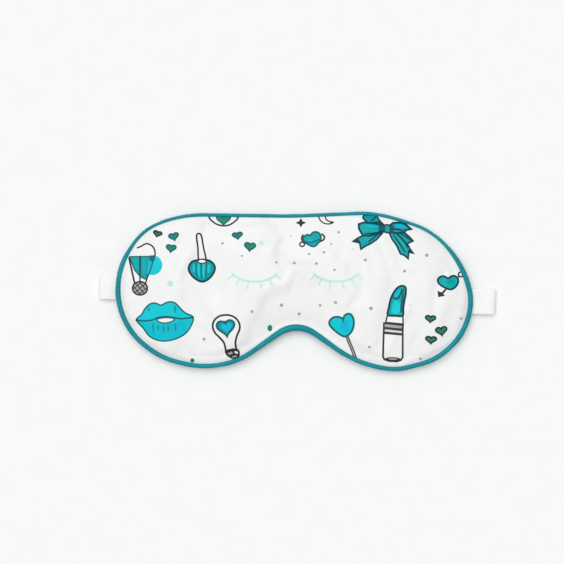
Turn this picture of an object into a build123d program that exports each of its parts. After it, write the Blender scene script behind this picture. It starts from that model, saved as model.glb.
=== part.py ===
"""A padded satin sleep mask with a piped edge and a flat elastic head strap.

The mask lies on its back, face side down, with its elastic strap flat underneath it.
Frame: +X to the right along the mask, +Y towards the forehead edge, +Z up, away from the face.
The origin is on the resting surface, on the underside of the strap, below the middle of the mask.
Millimetres throughout.
"""

from build123d import *
import math
import os

# ---------------------------------------------------------------- driving dimensions
# Outline of the piping's centre line: corner x, corner y, radius of the arc that rounds the corner.
# Clockwise from the slight dip in the middle of the forehead edge.
OUTLINE = [
    (0, 44.25, 240),
    (48, 46.3, 62),
    (82, 36, 44),
    (100.8, 13.5, 50),
    (105.3, -8.7, 34),
    (98.4, -27, 36),
    (83.5, -40.6, 36),
    (61, -46.2, 30),
    (38.3, -43.4, 66),
    (1.8, -16.9, 18),
    (-32.5, -41.2, 42),
    (-53, -45.0, 52),
    (-76.7, -39.8, 46),
    (-96, -25.6, 41),
    (-104.6, -4, 42),
    (-101.5, 16.7, 42),
    (-89.2, 36.1, 32),
    (-67, 45.2, 66),
]

SEAM_Z = 5.2  # height of the edge seam above the surface
TOP_Z = 10.0  # crown of the front panel
BACK_Z = 1.3  # lowest level of the back panel

PANEL_THICK = 0.5  # satin with its fusible backing
LINING_THICK = 0.4  # blackout lining
PLY_GAP = 0.05  # air between plies

PIPING_R = 1.4  # piping, over its cover
CORD_R = 0.88  # filler cord inside the piping
COVER_THICK = 0.5  # bias strip around the cord
FLANGE_THICK = 0.5  # two plies of the bias strip, sewn into the seam
SEAM_ALLOWANCE = 6.5  # how far the flange reaches into the mask

THREAD_INSET = 2.2  # seam line, inside the piping's centre line
THREAD_WIDE = 0.3
THREAD_HIGH = 0.22
THREAD_PLAY = 0.02

RIM_HIGH = 0.6  # upright rim of each panel, at the seam
BORDER_WIDE = 18.0  # width of each panel's curved border
BORDER_STEPS = 4

PADDING_INSET = 7.0  # the wadding is cut back clear of the seam allowance

STRAP_WIDE = 15.0
STRAP_THICK = 1.0
STRAP_Y = -1.6  # centre line of the strap where it crosses the middle
STRAP_ANGLE = -2.3  # the strap lies slightly askew
STRAP_RUN_Z = 2.6  # underside of the run that comes out of the seam
SLOT_LONG = 14.0  # the strap's slot in the back panel, from outside the edge to just inside the tab
LOOP_LEFT = 115.0  # how far the left fold of the strap reaches
LOOP_RIGHT = 119.4  # how far the right fold of the strap reaches
TAB_END = 98.0  # the sewn tab starts here, inside the seam allowance
RETURN_END = 98.0  # the folded-back stretch joins the band here
BAND_GAP = 0.3  # between the folded-back stretch and the moving band

TACK_COLUMNS = 3
TACK_ROWS = 6
TACK_THREAD = 0.4
TACK_PITCH_X = 1.2
TACK_PITCH_Y = 2.2
TACK_X = 99.8  # middle of each sewn tack

TRIM_GAP = 0.25  # between the back panel and the trim under it
TRIM_START = 0.3
TRIM_STEPS = 6

LABEL_SHARE = 0.72  # place along the right half of the forehead edge
LABEL_WIDE = 14.0
LABEL_LONG = 16.0
LABEL_THICK = 0.3

STITCH_COUNT = 10
STITCH_SHARE = 0.3  # place of the first one along the left half of the forehead edge
STITCH_STEP = 0.05
STITCH_LONG = 2.8
STITCH_WIDE = 0.5
STITCH_THICK = 0.3

# ---------------------------------------------------------------- worked-out dimensions
FLANGE_TOP = SEAM_Z + FLANGE_THICK / 2
FLANGE_BOTTOM = SEAM_Z - FLANGE_THICK / 2
PANEL_INSET = PIPING_R + PLY_GAP
FRONT_RISE = TOP_Z - FLANGE_TOP
BACK_RISE = FLANGE_BOTTOM - BACK_Z
PLY_STEP = PANEL_THICK + PLY_GAP
LINING_RISE = FRONT_RISE - PLY_STEP
LINING_INSET = PANEL_INSET + PLY_STEP
SLOT_X = TAB_END - PLY_GAP + SLOT_LONG / 2
SLOT_BOTTOM = STRAP_RUN_Z - PLY_GAP

os.makedirs("parts", exist_ok=True)


# ---------------------------------------------------------------- helpers
def inset_outline(inset):
    """Corner points and radii of the outline moved inwards, from the piping's centre line."""
    points = []
    radii = []
    befores = OUTLINE[-1:] + OUTLINE[:-1]
    afters = OUTLINE[1:] + OUTLINE[:1]
    for before, (x, y, radius), after in zip(befores, OUTLINE, afters):
        arrive = (Vector(x, y) - Vector(before[0], before[1])).normalized()
        leave = (Vector(after[0], after[1]) - Vector(x, y)).normalized()
        arrive_in = Vector(arrive.Y, -arrive.X)
        leave_in = Vector(leave.Y, -leave.X)
        corner = Vector(x, y) + (arrive_in + leave_in) * (inset / (1 + arrive_in.dot(leave_in)))
        points.append((corner.X, corner.Y))
        turns_inwards = arrive.cross(leave).Z < 0
        radii.append(radius - inset if turns_inwards else radius + inset)
    return points, radii


def mask_shape(inset):
    """The mask's outline as a face, moved inwards from the piping's centre line."""
    points, radii = inset_outline(inset)
    with BuildSketch() as shape:
        with BuildLine():
            FilletPolyline(*points, radius=radii, close=True)
        make_face()
    return shape.sketch


def border(outer_inset, inner_inset):
    """A band that follows the outline, between two insets."""
    with BuildSketch() as band:
        add(mask_shape(outer_inset))
        add(mask_shape(inner_inset), mode=Mode.SUBTRACT)
    return band.sketch


def border_height(along, rise):
    """Height of a panel's curved border above the seam, from its rim (0) to the flat middle (1)."""
    return RIM_HIGH + (rise - RIM_HIGH) * (1 - (1 - along) ** 2)


def dome(inset, base_z, rise, upwards):
    """Half a pillow: an upright rim, then a border that curves over to the flat middle."""
    way = 1 if upwards else -1
    with BuildPart() as half:
        with BuildSketch(Plane.XY.offset(base_z)):
            add(mask_shape(inset))
        for step in range(BORDER_STEPS + 1):
            along = step / BORDER_STEPS
            with BuildSketch(Plane.XY.offset(base_z + way * border_height(along, rise))):
                add(mask_shape(inset + BORDER_WIDE * along))
        loft(ruled=True)
    return half.part


def keep(piece, label):
    """Name a finished piece and write it."""
    piece.label = label
    export_step(piece, f"parts/{label}.step")


# ---------------------------------------------------------------- panels, lining and padding
with BuildPart() as front_panel:
    add(dome(PANEL_INSET, FLANGE_TOP, FRONT_RISE, True))
    add(dome(PANEL_INSET + PANEL_THICK, FLANGE_TOP, FRONT_RISE - PANEL_THICK, True), mode=Mode.SUBTRACT)
keep(front_panel.part, "front_panel")

with BuildPart() as blackout_lining:
    add(dome(LINING_INSET, FLANGE_TOP, LINING_RISE, True))
    add(dome(LINING_INSET + LINING_THICK, FLANGE_TOP, LINING_RISE - LINING_THICK, True), mode=Mode.SUBTRACT)
keep(blackout_lining.part, "blackout_lining")

strap_plane = Plane(
    origin=(0, STRAP_Y, 0),
    x_dir=(math.cos(math.radians(STRAP_ANGLE)), math.sin(math.radians(STRAP_ANGLE)), 0),
    z_dir=(0, 0, 1),
)
with BuildPart() as back_panel:
    add(dome(PANEL_INSET, FLANGE_BOTTOM, BACK_RISE, False))
    add(dome(PANEL_INSET + PANEL_THICK, FLANGE_BOTTOM, BACK_RISE - PANEL_THICK, False), mode=Mode.SUBTRACT)
    with BuildSketch(strap_plane.offset(SLOT_BOTTOM)):
        with Locations((-SLOT_X, 0), (SLOT_X, 0)):
            Rectangle(SLOT_LONG, STRAP_WIDE + 4 * PLY_GAP)
    extrude(amount=FLANGE_BOTTOM - SLOT_BOTTOM, mode=Mode.SUBTRACT)
keep(back_panel.part, "back_panel")

# The wadding fills the space inside the plies, less one ply gap, and is cut back from the seam.
wadding_inset = LINING_INSET + LINING_THICK + PLY_GAP
wadding_top = LINING_RISE - LINING_THICK - PLY_GAP
wadding_bottom = BACK_RISE - PANEL_THICK - PLY_GAP
with BuildPart() as padding:
    add(dome(wadding_inset, FLANGE_TOP, wadding_top, True))
    add(dome(wadding_inset, FLANGE_BOTTOM, wadding_bottom, False))
    with BuildSketch(Plane.XY.offset(FLANGE_BOTTOM)):
        add(mask_shape(PADDING_INSET))
    extrude(amount=FLANGE_THICK)
    with BuildSketch(Plane.XY.offset(BACK_Z)):
        add(border(0, PADDING_INSET))
    extrude(amount=TOP_Z - BACK_Z, mode=Mode.SUBTRACT)
keep(padding.part, "padding")

# ---------------------------------------------------------------- piping and seam
piping_points, piping_radii = inset_outline(0)
with BuildLine(Plane.XY.offset(SEAM_Z)) as piping_path:
    FilletPolyline(*piping_points, radius=piping_radii, close=True)
piping_line = piping_path.wires()[0]
piping_start = Plane(origin=piping_line @ 0, x_dir=(0, 0, 1), z_dir=piping_line % 0)

with BuildPart() as piping_cord:
    with BuildSketch(piping_start):
        Circle(CORD_R)
    sweep(path=piping_line)
keep(piping_cord.part, "piping_cord")

thread_groove = border(THREAD_INSET - THREAD_PLAY, THREAD_INSET + THREAD_WIDE + THREAD_PLAY)
with BuildPart() as piping_cover:
    with BuildSketch(piping_start):
        Circle(PIPING_R)
    sweep(path=piping_line)
    with BuildSketch(Plane.XY.offset(FLANGE_BOTTOM)):
        add(border(PIPING_R - COVER_THICK / 2, SEAM_ALLOWANCE))
    extrude(amount=FLANGE_THICK)
    with BuildSketch(piping_start):
        Circle(PIPING_R - COVER_THICK)
    sweep(path=piping_line, mode=Mode.SUBTRACT)
    with BuildSketch(Plane.XY.offset(SEAM_Z)):
        add(thread_groove)
    extrude(amount=FLANGE_THICK / 2, mode=Mode.SUBTRACT)
keep(piping_cover.part, "piping_cover")

with BuildPart() as seam_thread:
    with BuildSketch(Plane.XY.offset(SEAM_Z + THREAD_PLAY / 2)):
        add(border(THREAD_INSET, THREAD_INSET + THREAD_WIDE))
    extrude(amount=THREAD_HIGH)
keep(seam_thread.part, "seam_thread")

# ---------------------------------------------------------------- elastic strap
strap_side = Plane(origin=strap_plane.origin, x_dir=strap_plane.x_dir, z_dir=-strap_plane.y_dir)
FOLD_R = (STRAP_RUN_Z + STRAP_THICK) / 2
FOLD_INNER_R = FOLD_R - STRAP_THICK


def strap_end(reach, side):
    """One end of the elastic: a sewn tab, a run out past the piping, a fold, and a run back under."""
    fold_x = reach - FOLD_R
    with BuildPart() as end:
        with BuildSketch(strap_side):
            with Locations((side * (TAB_END + fold_x) / 2, FOLD_R)):
                Rectangle(fold_x - TAB_END, 2 * FOLD_R)
            with Locations((side * fold_x, FOLD_R)):
                Circle(FOLD_R)
            with Locations((side * (RETURN_END + fold_x) / 2, FOLD_R)):
                Rectangle(fold_x - RETURN_END, 2 * FOLD_INNER_R, mode=Mode.SUBTRACT)
            with Locations((side * fold_x, FOLD_R)):
                Circle(FOLD_INNER_R, mode=Mode.SUBTRACT)
        extrude(amount=STRAP_WIDE / 2, both=True)
    return end.part


def strap_tack(side):
    """Rows of tacking thread that hold the sewn tab to the seam allowance above it."""
    with BuildPart() as tack:
        with BuildSketch(strap_plane.offset(STRAP_RUN_Z + STRAP_THICK)):
            with Locations((side * TACK_X, 0)):
                with GridLocations(TACK_PITCH_X, TACK_PITCH_Y, TACK_COLUMNS, TACK_ROWS):
                    Rectangle(TACK_THREAD, TACK_THREAD)
        extrude(amount=FLANGE_BOTTOM - STRAP_RUN_Z - STRAP_THICK)
    return tack.part


keep(strap_end(LOOP_LEFT, -1), "strap_end_left")
keep(strap_end(LOOP_RIGHT, 1), "strap_end_right")
keep(strap_tack(-1), "strap_tack_left")
keep(strap_tack(1), "strap_tack_right")

with BuildPart() as strap_band:
    with BuildSketch(strap_plane):
        Rectangle(2 * (RETURN_END - BAND_GAP), STRAP_WIDE)
    extrude(amount=STRAP_THICK)
keep(strap_band.part, "strap_band")

# ---------------------------------------------------------------- trim on the back
# Both follow the underside of the back panel's border, along the forehead edge.
def across_border(start, end, share):
    """A plane that cuts the border square, with its X inwards from the rim and its Y up."""
    first = Vector(start[0], start[1], FLANGE_BOTTOM)
    along_edge = Vector(end[0], end[1], FLANGE_BOTTOM) - first
    inwards = Vector(along_edge.Y, -along_edge.X).normalized()
    rim = first + along_edge * share + inwards * PANEL_INSET
    return Plane(origin=rim, x_dir=inwards, z_dir=-along_edge)


def under_border(reach, thick):
    """Side profile of a strip that lies under the border, from the rim inwards to a given reach."""
    upper = []
    for step in range(TRIM_STEPS + 1):
        inwards = TRIM_START + (reach - TRIM_START) * step / TRIM_STEPS
        upper.append((inwards, -TRIM_GAP - border_height(inwards / BORDER_WIDE, BACK_RISE)))
    lower = [(inwards, height - thick) for inwards, height in reversed(upper)]
    with BuildSketch() as profile:
        with BuildLine():
            Polyline(*upper, *lower, close=True)
        make_face()
    return profile.sketch


with BuildPart() as care_label:
    with BuildSketch(across_border(OUTLINE[0], OUTLINE[1], LABEL_SHARE)):
        add(under_border(LABEL_LONG, LABEL_THICK))
    extrude(amount=LABEL_WIDE / 2, both=True)
keep(care_label.part, "care_label")

with BuildPart() as closing_stitches:
    for stitch in range(STITCH_COUNT):
        with BuildSketch(across_border(OUTLINE[-1], OUTLINE[0], STITCH_SHARE + STITCH_STEP * stitch)):
            add(under_border(STITCH_LONG, STITCH_THICK))
        extrude(amount=STITCH_WIDE / 2, both=True)
keep(closing_stitches.part, "closing_stitches")
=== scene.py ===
"""Looks of a printed satin sleep mask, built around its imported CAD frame.

Shapes are worked out in millimetres in the frame's axes and become metres when a mesh is made.
"""

import random
from math import acos, atan2, cos, pi, radians, sin, sqrt, tan

import bmesh
import bpy
import numpy as np
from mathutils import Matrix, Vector
from mathutils.bvhtree import BVHTree
from mathutils.geometry import delaunay_2d_cdt
from numpy.linalg import norm


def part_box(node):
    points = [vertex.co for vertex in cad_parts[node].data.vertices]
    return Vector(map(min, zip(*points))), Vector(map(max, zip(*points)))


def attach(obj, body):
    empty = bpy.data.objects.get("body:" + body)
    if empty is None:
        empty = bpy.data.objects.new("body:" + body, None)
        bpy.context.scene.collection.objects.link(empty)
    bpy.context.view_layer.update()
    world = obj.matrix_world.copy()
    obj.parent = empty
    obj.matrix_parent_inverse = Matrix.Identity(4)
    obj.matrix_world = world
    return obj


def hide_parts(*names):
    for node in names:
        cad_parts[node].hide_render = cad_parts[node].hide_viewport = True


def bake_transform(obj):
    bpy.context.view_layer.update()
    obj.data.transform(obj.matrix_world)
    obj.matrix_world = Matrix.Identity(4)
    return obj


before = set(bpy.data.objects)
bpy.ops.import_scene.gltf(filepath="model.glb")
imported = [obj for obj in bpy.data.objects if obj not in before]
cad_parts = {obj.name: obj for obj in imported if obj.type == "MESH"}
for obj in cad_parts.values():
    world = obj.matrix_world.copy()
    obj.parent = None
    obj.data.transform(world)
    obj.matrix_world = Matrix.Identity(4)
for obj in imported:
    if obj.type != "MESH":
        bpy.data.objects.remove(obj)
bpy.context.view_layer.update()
scene = bpy.context.scene

MM = 0.001

# ---- sizes shared with the CAD model
# Outline of the piping's centre line: corner x, corner y, radius of the arc that rounds the corner.
OUTLINE = [
    (0, 44.25, 240), (48, 46.3, 62), (82, 36, 44), (100.8, 13.5, 56), (105.3, -8.7, 34),
    (98.4, -27, 36), (83.5, -40.6, 36), (61, -46.2, 30), (38.3, -43.4, 66), (1.8, -16.9, 18),
    (-32.5, -41.2, 42), (-53, -45.0, 52), (-76.7, -39.8, 46), (-96, -25.6, 42), (-104.6, -4, 42),
    (-101.5, 16.7, 42), (-89.2, 36.1, 32), (-67, 45.2, 68),
]
cord_low, cord_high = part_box("piping_cord")
band_low, band_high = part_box("strap_band")
SEAM_Z = (cord_low.z + cord_high.z) / 2 / MM
CROWN_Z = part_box("front_panel")[1].z / MM
BACK_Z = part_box("back_panel")[0].z / MM
BAND_THICK = (band_high.z - band_low.z) / MM
LOOP_LEFT = -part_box("strap_end_left")[0].x / MM
LOOP_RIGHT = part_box("strap_end_right")[1].x / MM
TAB_X = 98.0  # where the elastic is sewn in, along it from the middle
STRAP_WIDE = 15.0
STRAP_Y = -1.6  # where the strap crosses x = 0
STRAP_ANGLE = radians(-2.3)

RIM_COUNT = 640
RIM_SOFTNESS = 2.2  # over how many millimetres the outline's kinks are rounded
RIM_INSET = 1.05  # where each panel's edge tucks in beside the piping
PLY = 0.4  # thickness of one fabric ply
CHUNK = 2000  # points measured at a time


# ---- outline and distances
def arc_outline(step=0.4):
    """Dense points round the outline, clockwise, along its straight runs and tangent arcs."""
    points = []
    for index, (x, y, radius) in enumerate(OUTLINE):
        here = np.array([x, y], float)
        back = np.array(OUTLINE[index - 1][:2]) - here
        ahead = np.array(OUTLINE[(index + 1) % len(OUTLINE)][:2]) - here
        back /= norm(back)
        ahead /= norm(ahead)
        half_turn = (pi - acos(back @ ahead)) / 2
        start = here + back * radius * tan(half_turn)
        bisector = (back + ahead) / norm(back + ahead)
        centre = here + bisector * radius / cos(half_turn)
        clockwise = back[0] * ahead[1] - back[1] * ahead[0] > 0
        sweep = -2 * half_turn if clockwise else 2 * half_turn
        first = atan2(start[1] - centre[1], start[0] - centre[0])
        for angle in first + np.linspace(0, sweep, max(4, int(radius * abs(sweep) / step))):
            points.append(centre + radius * np.array([cos(angle), sin(angle)]))
    return np.array(points)


def resample(points, count, closed=True):
    """The same line as evenly spaced points."""
    line = np.vstack([points, points[:1]]) if closed else np.asarray(points, float)
    lengths = np.r_[0, np.cumsum(norm(np.diff(line, axis=0), axis=1))]
    at = np.linspace(0, lengths[-1], count, endpoint=not closed)
    return np.column_stack([np.interp(at, lengths, line[:, k]) for k in range(line.shape[1])])


def unit(rows):
    return rows / norm(rows, axis=1)[:, None]


def loop_tangent(points):
    return unit(np.roll(points, -1, 0) - np.roll(points, 1, 0))


def soften(points, spread):
    """A closed loop of evenly spaced points with its kinks rounded over a spread in millimetres."""
    spacing = norm(points[1] - points[0])
    wave = np.fft.fft(points[:, 0] + 1j * points[:, 1])
    turns = np.fft.fftfreq(len(points), spacing)
    loop = np.fft.ifft(wave * np.exp(-2 * (pi * turns * spread) ** 2))
    return np.c_[loop.real, loop.imag]


RIM = soften(resample(arc_outline(), RIM_COUNT), RIM_SOFTNESS)
rim_tangent = loop_tangent(RIM)
RIM_IN = np.c_[rim_tangent[:, 1], -rim_tangent[:, 0]]
RIM_STEP = norm(np.diff(RIM, axis=0), axis=1).mean()
RIM_LONG = RIM_STEP * RIM_COUNT


def inset_loop(inset, every=1):
    return (RIM + RIM_IN * inset)[::every]


def rim_distance(points):
    """Distance of each point in from the outline, negative outside, and its nearest rim point."""
    depth = np.empty(len(points))
    nearest = np.empty(len(points), int)
    for start in range(0, len(points), CHUNK):
        chunk = points[start : start + CHUNK]
        gap = chunk[:, None, :] - RIM[None, :, :]
        square = (gap**2).sum(2)
        near = square.argmin(1)
        away = gap[np.arange(len(chunk)), near]
        across = (away * RIM_IN[near]).sum(1)
        along = (away * rim_tangent[near]).sum(1)
        far = np.sqrt(square[np.arange(len(chunk)), near])
        beside = np.abs(along) < RIM_STEP
        depth[start : start + CHUNK] = np.where(beside, across, np.sign(across) * far)
        nearest[start : start + CHUNK] = near
    return depth, nearest


def signed_area(loop):
    """Area inside a closed loop, negative when it runs clockwise."""
    ahead = np.roll(loop, -1, 0)
    return float(np.sum(loop[:, 0] * ahead[:, 1] - ahead[:, 0] * loop[:, 1])) / 2


def triangulate(loops, loose):
    """Delaunay triangles inside the first loop, and for each the last loop that holds it."""
    verts = []
    faces = []
    for loop in loops:
        loop = loop if signed_area(loop) > 0 else loop[::-1]
        loop = np.roll(loop, -loop[:, 0].argmax(), 0)
        faces.append(list(range(len(verts), len(verts) + len(loop))))
        verts.extend(Vector(p) for p in loop)
    verts.extend(Vector(p) for p in loose)
    out = delaunay_2d_cdt(verts, [], faces, 0, 1e-4)
    points = np.array([tuple(p) for p in out[0]])
    kept = [(tri, max(held)) for tri, held in zip(out[2], out[5]) if 0 in held and len(tri) == 3]
    tris = np.array([tri for tri, owner in kept])
    owners = np.array([owner for tri, owner in kept])
    first = points[tris[:, 0]]
    ax, ay = (points[tris[:, 1]] - first).T
    bx, by = (points[tris[:, 2]] - first).T
    turned = ax * by - ay * bx < 0
    tris[turned] = tris[turned][:, ::-1]
    return points, tris, owners


def hex_points(spacing, clear):
    """Evenly packed points inside the outline, at least a given distance in from it."""
    low, high = RIM.min(0), RIM.max(0)
    rows = []
    for row, y in enumerate(np.arange(low[1], high[1], spacing * sqrt(3) / 2)):
        xs = np.arange(low[0] + spacing / 2 * (row % 2), high[0], spacing)
        rows.append(np.c_[xs, np.full(len(xs), y)])
    points = np.vstack(rows)
    return points[rim_distance(points)[0] > clear]


# ---- height of the padded body
def strap_coords(points):
    """Along and across the strap, for points of the frame."""
    c, s = cos(STRAP_ANGLE), sin(STRAP_ANGLE)
    x, y = points[:, 0], points[:, 1] - STRAP_Y
    return x * c + y * s, -x * s + y * c


def ease(value, low, high):
    t = np.clip((value - low) / (high - low), 0, 1)
    return t * t * (3 - 2 * t)


def crown_curve(depth, wide):
    """From 0 at the rim to 1 in the middle, steep at first like a stuffed edge."""
    t = np.clip((depth - RIM_INSET) / wide, 0, 1)
    return (1 - (1 - t) ** 2.2) ** 0.62


FRONT_WIDE = 27.0  # how far in from the rim the front keeps rising
BACK_WIDE = 24.0
TUCK = 0.3  # height between each panel's edge and the seam
CROWN_ROOM = 0.3  # left under the front's highest level for the cloth's own bulges
TAB_LEVEL = 0.9  # height over the lowest level where the back passes under the sewn strap
TAB_REACH = (16, 2)  # where that dip starts and is full, inwards from TAB_X
TAB_SIDES = (7.4, 11.0)  # where it starts to fade and is gone, across the strap


def front_base(depth):
    edge = SEAM_Z + TUCK
    return edge + (CROWN_Z - CROWN_ROOM - SEAM_Z - TUCK) * crown_curve(depth, FRONT_WIDE)


def back_base(depth, points):
    """The back hangs down to its lowest level, and its edge drops to pass under the sewn strap."""
    edge = SEAM_Z - TUCK
    free = edge - (edge - BACK_Z) * crown_curve(depth, BACK_WIDE)
    along, across = strap_coords(points)
    near_tab = ease(np.abs(along), TAB_X - TAB_REACH[0], TAB_X - TAB_REACH[1])
    near_tab *= 1 - ease(np.abs(across), *TAB_SIDES)
    return free + (np.minimum(free, BACK_Z + TAB_LEVEL) - free) * near_tab


CELL = 0.8  # of the grids that hold the cloth's detail, in millimetres
MARGIN = 3 * CELL
raster_low = RIM.min(0) - MARGIN
raster_size = np.ceil((RIM.max(0) + MARGIN - raster_low) / CELL).astype(int)


def raster_points():
    xs = raster_low[0] + CELL * np.arange(raster_size[0])
    ys = raster_low[1] + CELL * np.arange(raster_size[1])
    return np.array([(x, y) for x in xs for y in ys])


def blur(grid, spread):
    """Gaussian blur along both sides of a grid."""
    reach = int(3 * spread / CELL) + 1
    kernel = np.exp(-((np.arange(-reach, reach + 1) * CELL / spread) ** 2) / 2)
    kernel /= kernel.sum()
    for axis in (0, 1):
        grid = np.apply_along_axis(lambda row: np.convolve(row, kernel, "same"), axis, grid)
    return grid


def sample(grid, points):
    """Values of a grid between its cells."""
    at = (points - raster_low) / CELL
    low = np.clip(np.floor(at).astype(int), 0, raster_size - 2)
    fx, fy = (at - low).T
    i, j = low.T
    left = grid[i, j] * (1 - fy) + grid[i, j + 1] * fy
    right = grid[i + 1, j] * (1 - fy) + grid[i + 1, j + 1] * fy
    return left * (1 - fx) + right * fx


SIM_SPACING = 2.4
SIM_FRAMES = 20
SIM_CAP = 1.0  # how far the cloth may leave the plain pillow
SIM_BLUR = 1.0
RAY_TOP = 40.0


def stuffed_cloth():
    """Sews two cloth panels at the rim, blows them up by cloth simulation, and measures both.

    Returns how far each panel stands off its plain pillow shape, as two grids.
    """
    loop = inset_loop(RIM_INSET, 3)
    points, tris, _ = triangulate([loop], hex_points(SIM_SPACING, RIM_INSET + 1.6))
    depth, _ = rim_distance(points)
    at_rim = depth < RIM_INSET + 0.5
    own_index = len(points) + np.cumsum(~at_rim) - 1
    low_index = np.where(at_rim, np.arange(len(points)), own_index)
    top = np.c_[points, front_base(depth)]
    bottom = np.c_[points, back_base(depth, points)][~at_rim]
    top[at_rim, 2] = SEAM_Z
    verts = np.vstack([top, bottom])
    faces = [tuple(t) for t in tris] + [tuple(low_index[t][::-1]) for t in tris]
    mesh = bpy.data.meshes.new("cloth_trial")
    mesh.from_pydata((verts * MM).tolist(), [], faces)
    cloth = bpy.data.objects.new("cloth_trial", mesh)
    scene.collection.objects.link(cloth)
    pins = cloth.vertex_groups.new(name="pins")
    pins.add([int(k) for k in np.flatnonzero(at_rim)], 1.0, "REPLACE")
    modifier = cloth.modifiers.new("Cloth", "CLOTH")
    settings = modifier.settings
    settings.quality = 6
    settings.mass = 0.15
    settings.tension_stiffness = settings.compression_stiffness = 12
    settings.shear_stiffness = 4
    settings.bending_stiffness = 0.15
    settings.vertex_group_mass = "pins"
    settings.shrink_min = -0.035
    settings.use_pressure = True
    settings.uniform_pressure_force = 4.0
    settings.effector_weights.gravity = 0
    modifier.point_cache.frame_start = 1
    modifier.point_cache.frame_end = SIM_FRAMES
    for tick in range(1, SIM_FRAMES + 1):
        scene.frame_set(tick)
    posed = cloth.evaluated_get(bpy.context.evaluated_depsgraph_get())
    moved = [Vector(co) for co in np.array([v.co for v in posed.data.vertices]) / MM]
    scene.frame_set(1)
    bpy.data.objects.remove(cloth)
    bpy.data.meshes.remove(mesh)

    cells = raster_points()
    cell_depth, _ = rim_distance(cells)
    inside = np.flatnonzero(cell_depth > RIM_INSET + CELL)
    grids = []
    for index, plain in (
        (tris, front_base(cell_depth)),
        (low_index[tris], back_base(cell_depth, cells)),
    ):
        tree = BVHTree.FromPolygons(moved, [tuple(t) for t in index])
        off = np.zeros(len(cells))
        seen = np.zeros(len(cells))
        for k in inside:
            hit = tree.ray_cast(Vector((*cells[k], RAY_TOP)), Vector((0, 0, -1)))[0]
            if hit is not None:
                off[k] = hit.z - plain[k]
                seen[k] = 1
        off = SIM_CAP * np.tanh((off - np.median(off[seen > 0])) / SIM_CAP)
        total = blur((off * seen).reshape(raster_size), SIM_BLUR)
        grids.append(total / np.maximum(blur(seen.reshape(raster_size), SIM_BLUR), 0.05))
    return grids


PUCKER_WAVES = 9
PUCKER_PERIOD = (5.5, 15)
PUCKER_REACH = 4.5  # how far in they fade to about a third
PUCKER_BLUR = 0.9


def puckers(seed, height):
    """Small gathers that run in from the seam and die out, as a grid."""
    spread = random.Random(seed)
    depth, nearest = rim_distance(raster_points())
    wave = np.zeros(len(depth))
    for _ in range(PUCKER_WAVES):
        count = round(RIM_LONG / spread.uniform(*PUCKER_PERIOD))
        wave += np.cos(2 * pi * (count * nearest / RIM_COUNT + spread.random())) / 3
    fading = np.exp(-np.maximum(depth, 0) / PUCKER_REACH)
    return blur((height * wave * fading).reshape(raster_size), PUCKER_BLUR)


front_detail, back_detail = stuffed_cloth()
front_detail = front_detail + puckers(3, 0.3)
back_detail = back_detail + puckers(4, 0.35)
DETAIL_FADE = 3.5  # how far in from its edge a panel's detail grows to its full height
BACK_SHARE = 0.8
TABLE_BEND = 0.25  # how softly the back flattens where it lies on the table


def front_height(points):
    depth, _ = rim_distance(points)
    fade = ease(depth, RIM_INSET, RIM_INSET + DETAIL_FADE)
    return front_base(depth) + sample(front_detail, points) * fade


def back_height(points):
    depth, _ = rim_distance(points)
    fade = ease(depth, RIM_INSET, RIM_INSET + DETAIL_FADE) * BACK_SHARE
    loose = back_base(depth, points) + sample(back_detail, points) * fade
    return BACK_Z - 0.05 + np.logaddexp(0, (loose - BACK_Z) / TABLE_BEND) * TABLE_BEND


def slopes(height, points, step=0.12):
    """Unit upward normals of a height function."""
    dx = height(points + [step, 0]) - height(points - [step, 0])
    dy = height(points + [0, step]) - height(points - [0, step])
    return unit(np.c_[-dx, -dy, np.full(len(points), 2 * step)])


# ---- mesh helpers
def new_object(name, verts, faces, materials, face_slots=None, normals=None):
    """A smooth-shaded mesh object from millimetre points."""
    mesh = bpy.data.meshes.new(name)
    whole = [tuple(int(k) for k in face) for face in faces]
    mesh.from_pydata((np.asarray(verts) * MM).tolist(), [], whole)
    for material in materials:
        mesh.materials.append(material)
    mesh.polygons.foreach_set("use_smooth", [True] * len(mesh.polygons))
    if face_slots is not None:
        mesh.polygons.foreach_set("material_index", [int(k) for k in face_slots])
    if normals is not None:
        mesh.normals_split_custom_set_from_vertices([tuple(n) for n in normals])
    mesh.update()
    obj = bpy.data.objects.new(name, mesh)
    scene.collection.objects.link(obj)
    return obj


def boundary_edges(tris):
    """Directed edges that only one triangle uses."""
    seen = {(int(a), int(b)) for t in tris for a, b in zip(t, np.roll(t, -1))}
    return [(a, b) for a, b in seen if (b, a) not in seen]


def ply_object(name, points, tris, outer, inner, outer_normals, materials, face_slots=None):
    """A fabric ply between two height lists over the same triangles; outer faces up."""
    count = len(points)
    verts = np.vstack([np.c_[points, outer], np.c_[points, inner]])
    rim = [(b, a, a + count, b + count) for a, b in sorted(boundary_edges(tris))]
    faces = [tuple(t) for t in tris] + [tuple(t[::-1] + count) for t in tris] + rim
    slots = None
    if face_slots is not None:
        slots = list(face_slots) + [0] * (len(tris) + len(rim))
    normals = np.vstack([outer_normals, -outer_normals])
    return new_object(name, verts, faces, materials, slots, normals)


def ring_faces(rings, sides, first=0, closed=False):
    """Quads between neighbouring rings of points."""
    faces = []
    for k in range(rings if closed else rings - 1):
        here, ahead = first + k * sides, first + (k + 1) % rings * sides
        for j in range(sides):
            over = (j + 1) % sides
            faces.append((here + j, here + over, ahead + over, ahead + j))
    return faces


def tube_loop(name, centres, outward, profile_at, materials):
    """A closed tube round a loop: profile_at(k) gives its (outward, up) points at centre k."""
    rings = []
    for k, (x, y, z) in enumerate(centres):
        for out, up in profile_at(k):
            rings.append((x + outward[k, 0] * out, y + outward[k, 1] * out, z + up))
    faces = ring_faces(len(centres), len(rings) // len(centres), closed=True)
    return new_object(name, rings, faces, materials)


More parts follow.
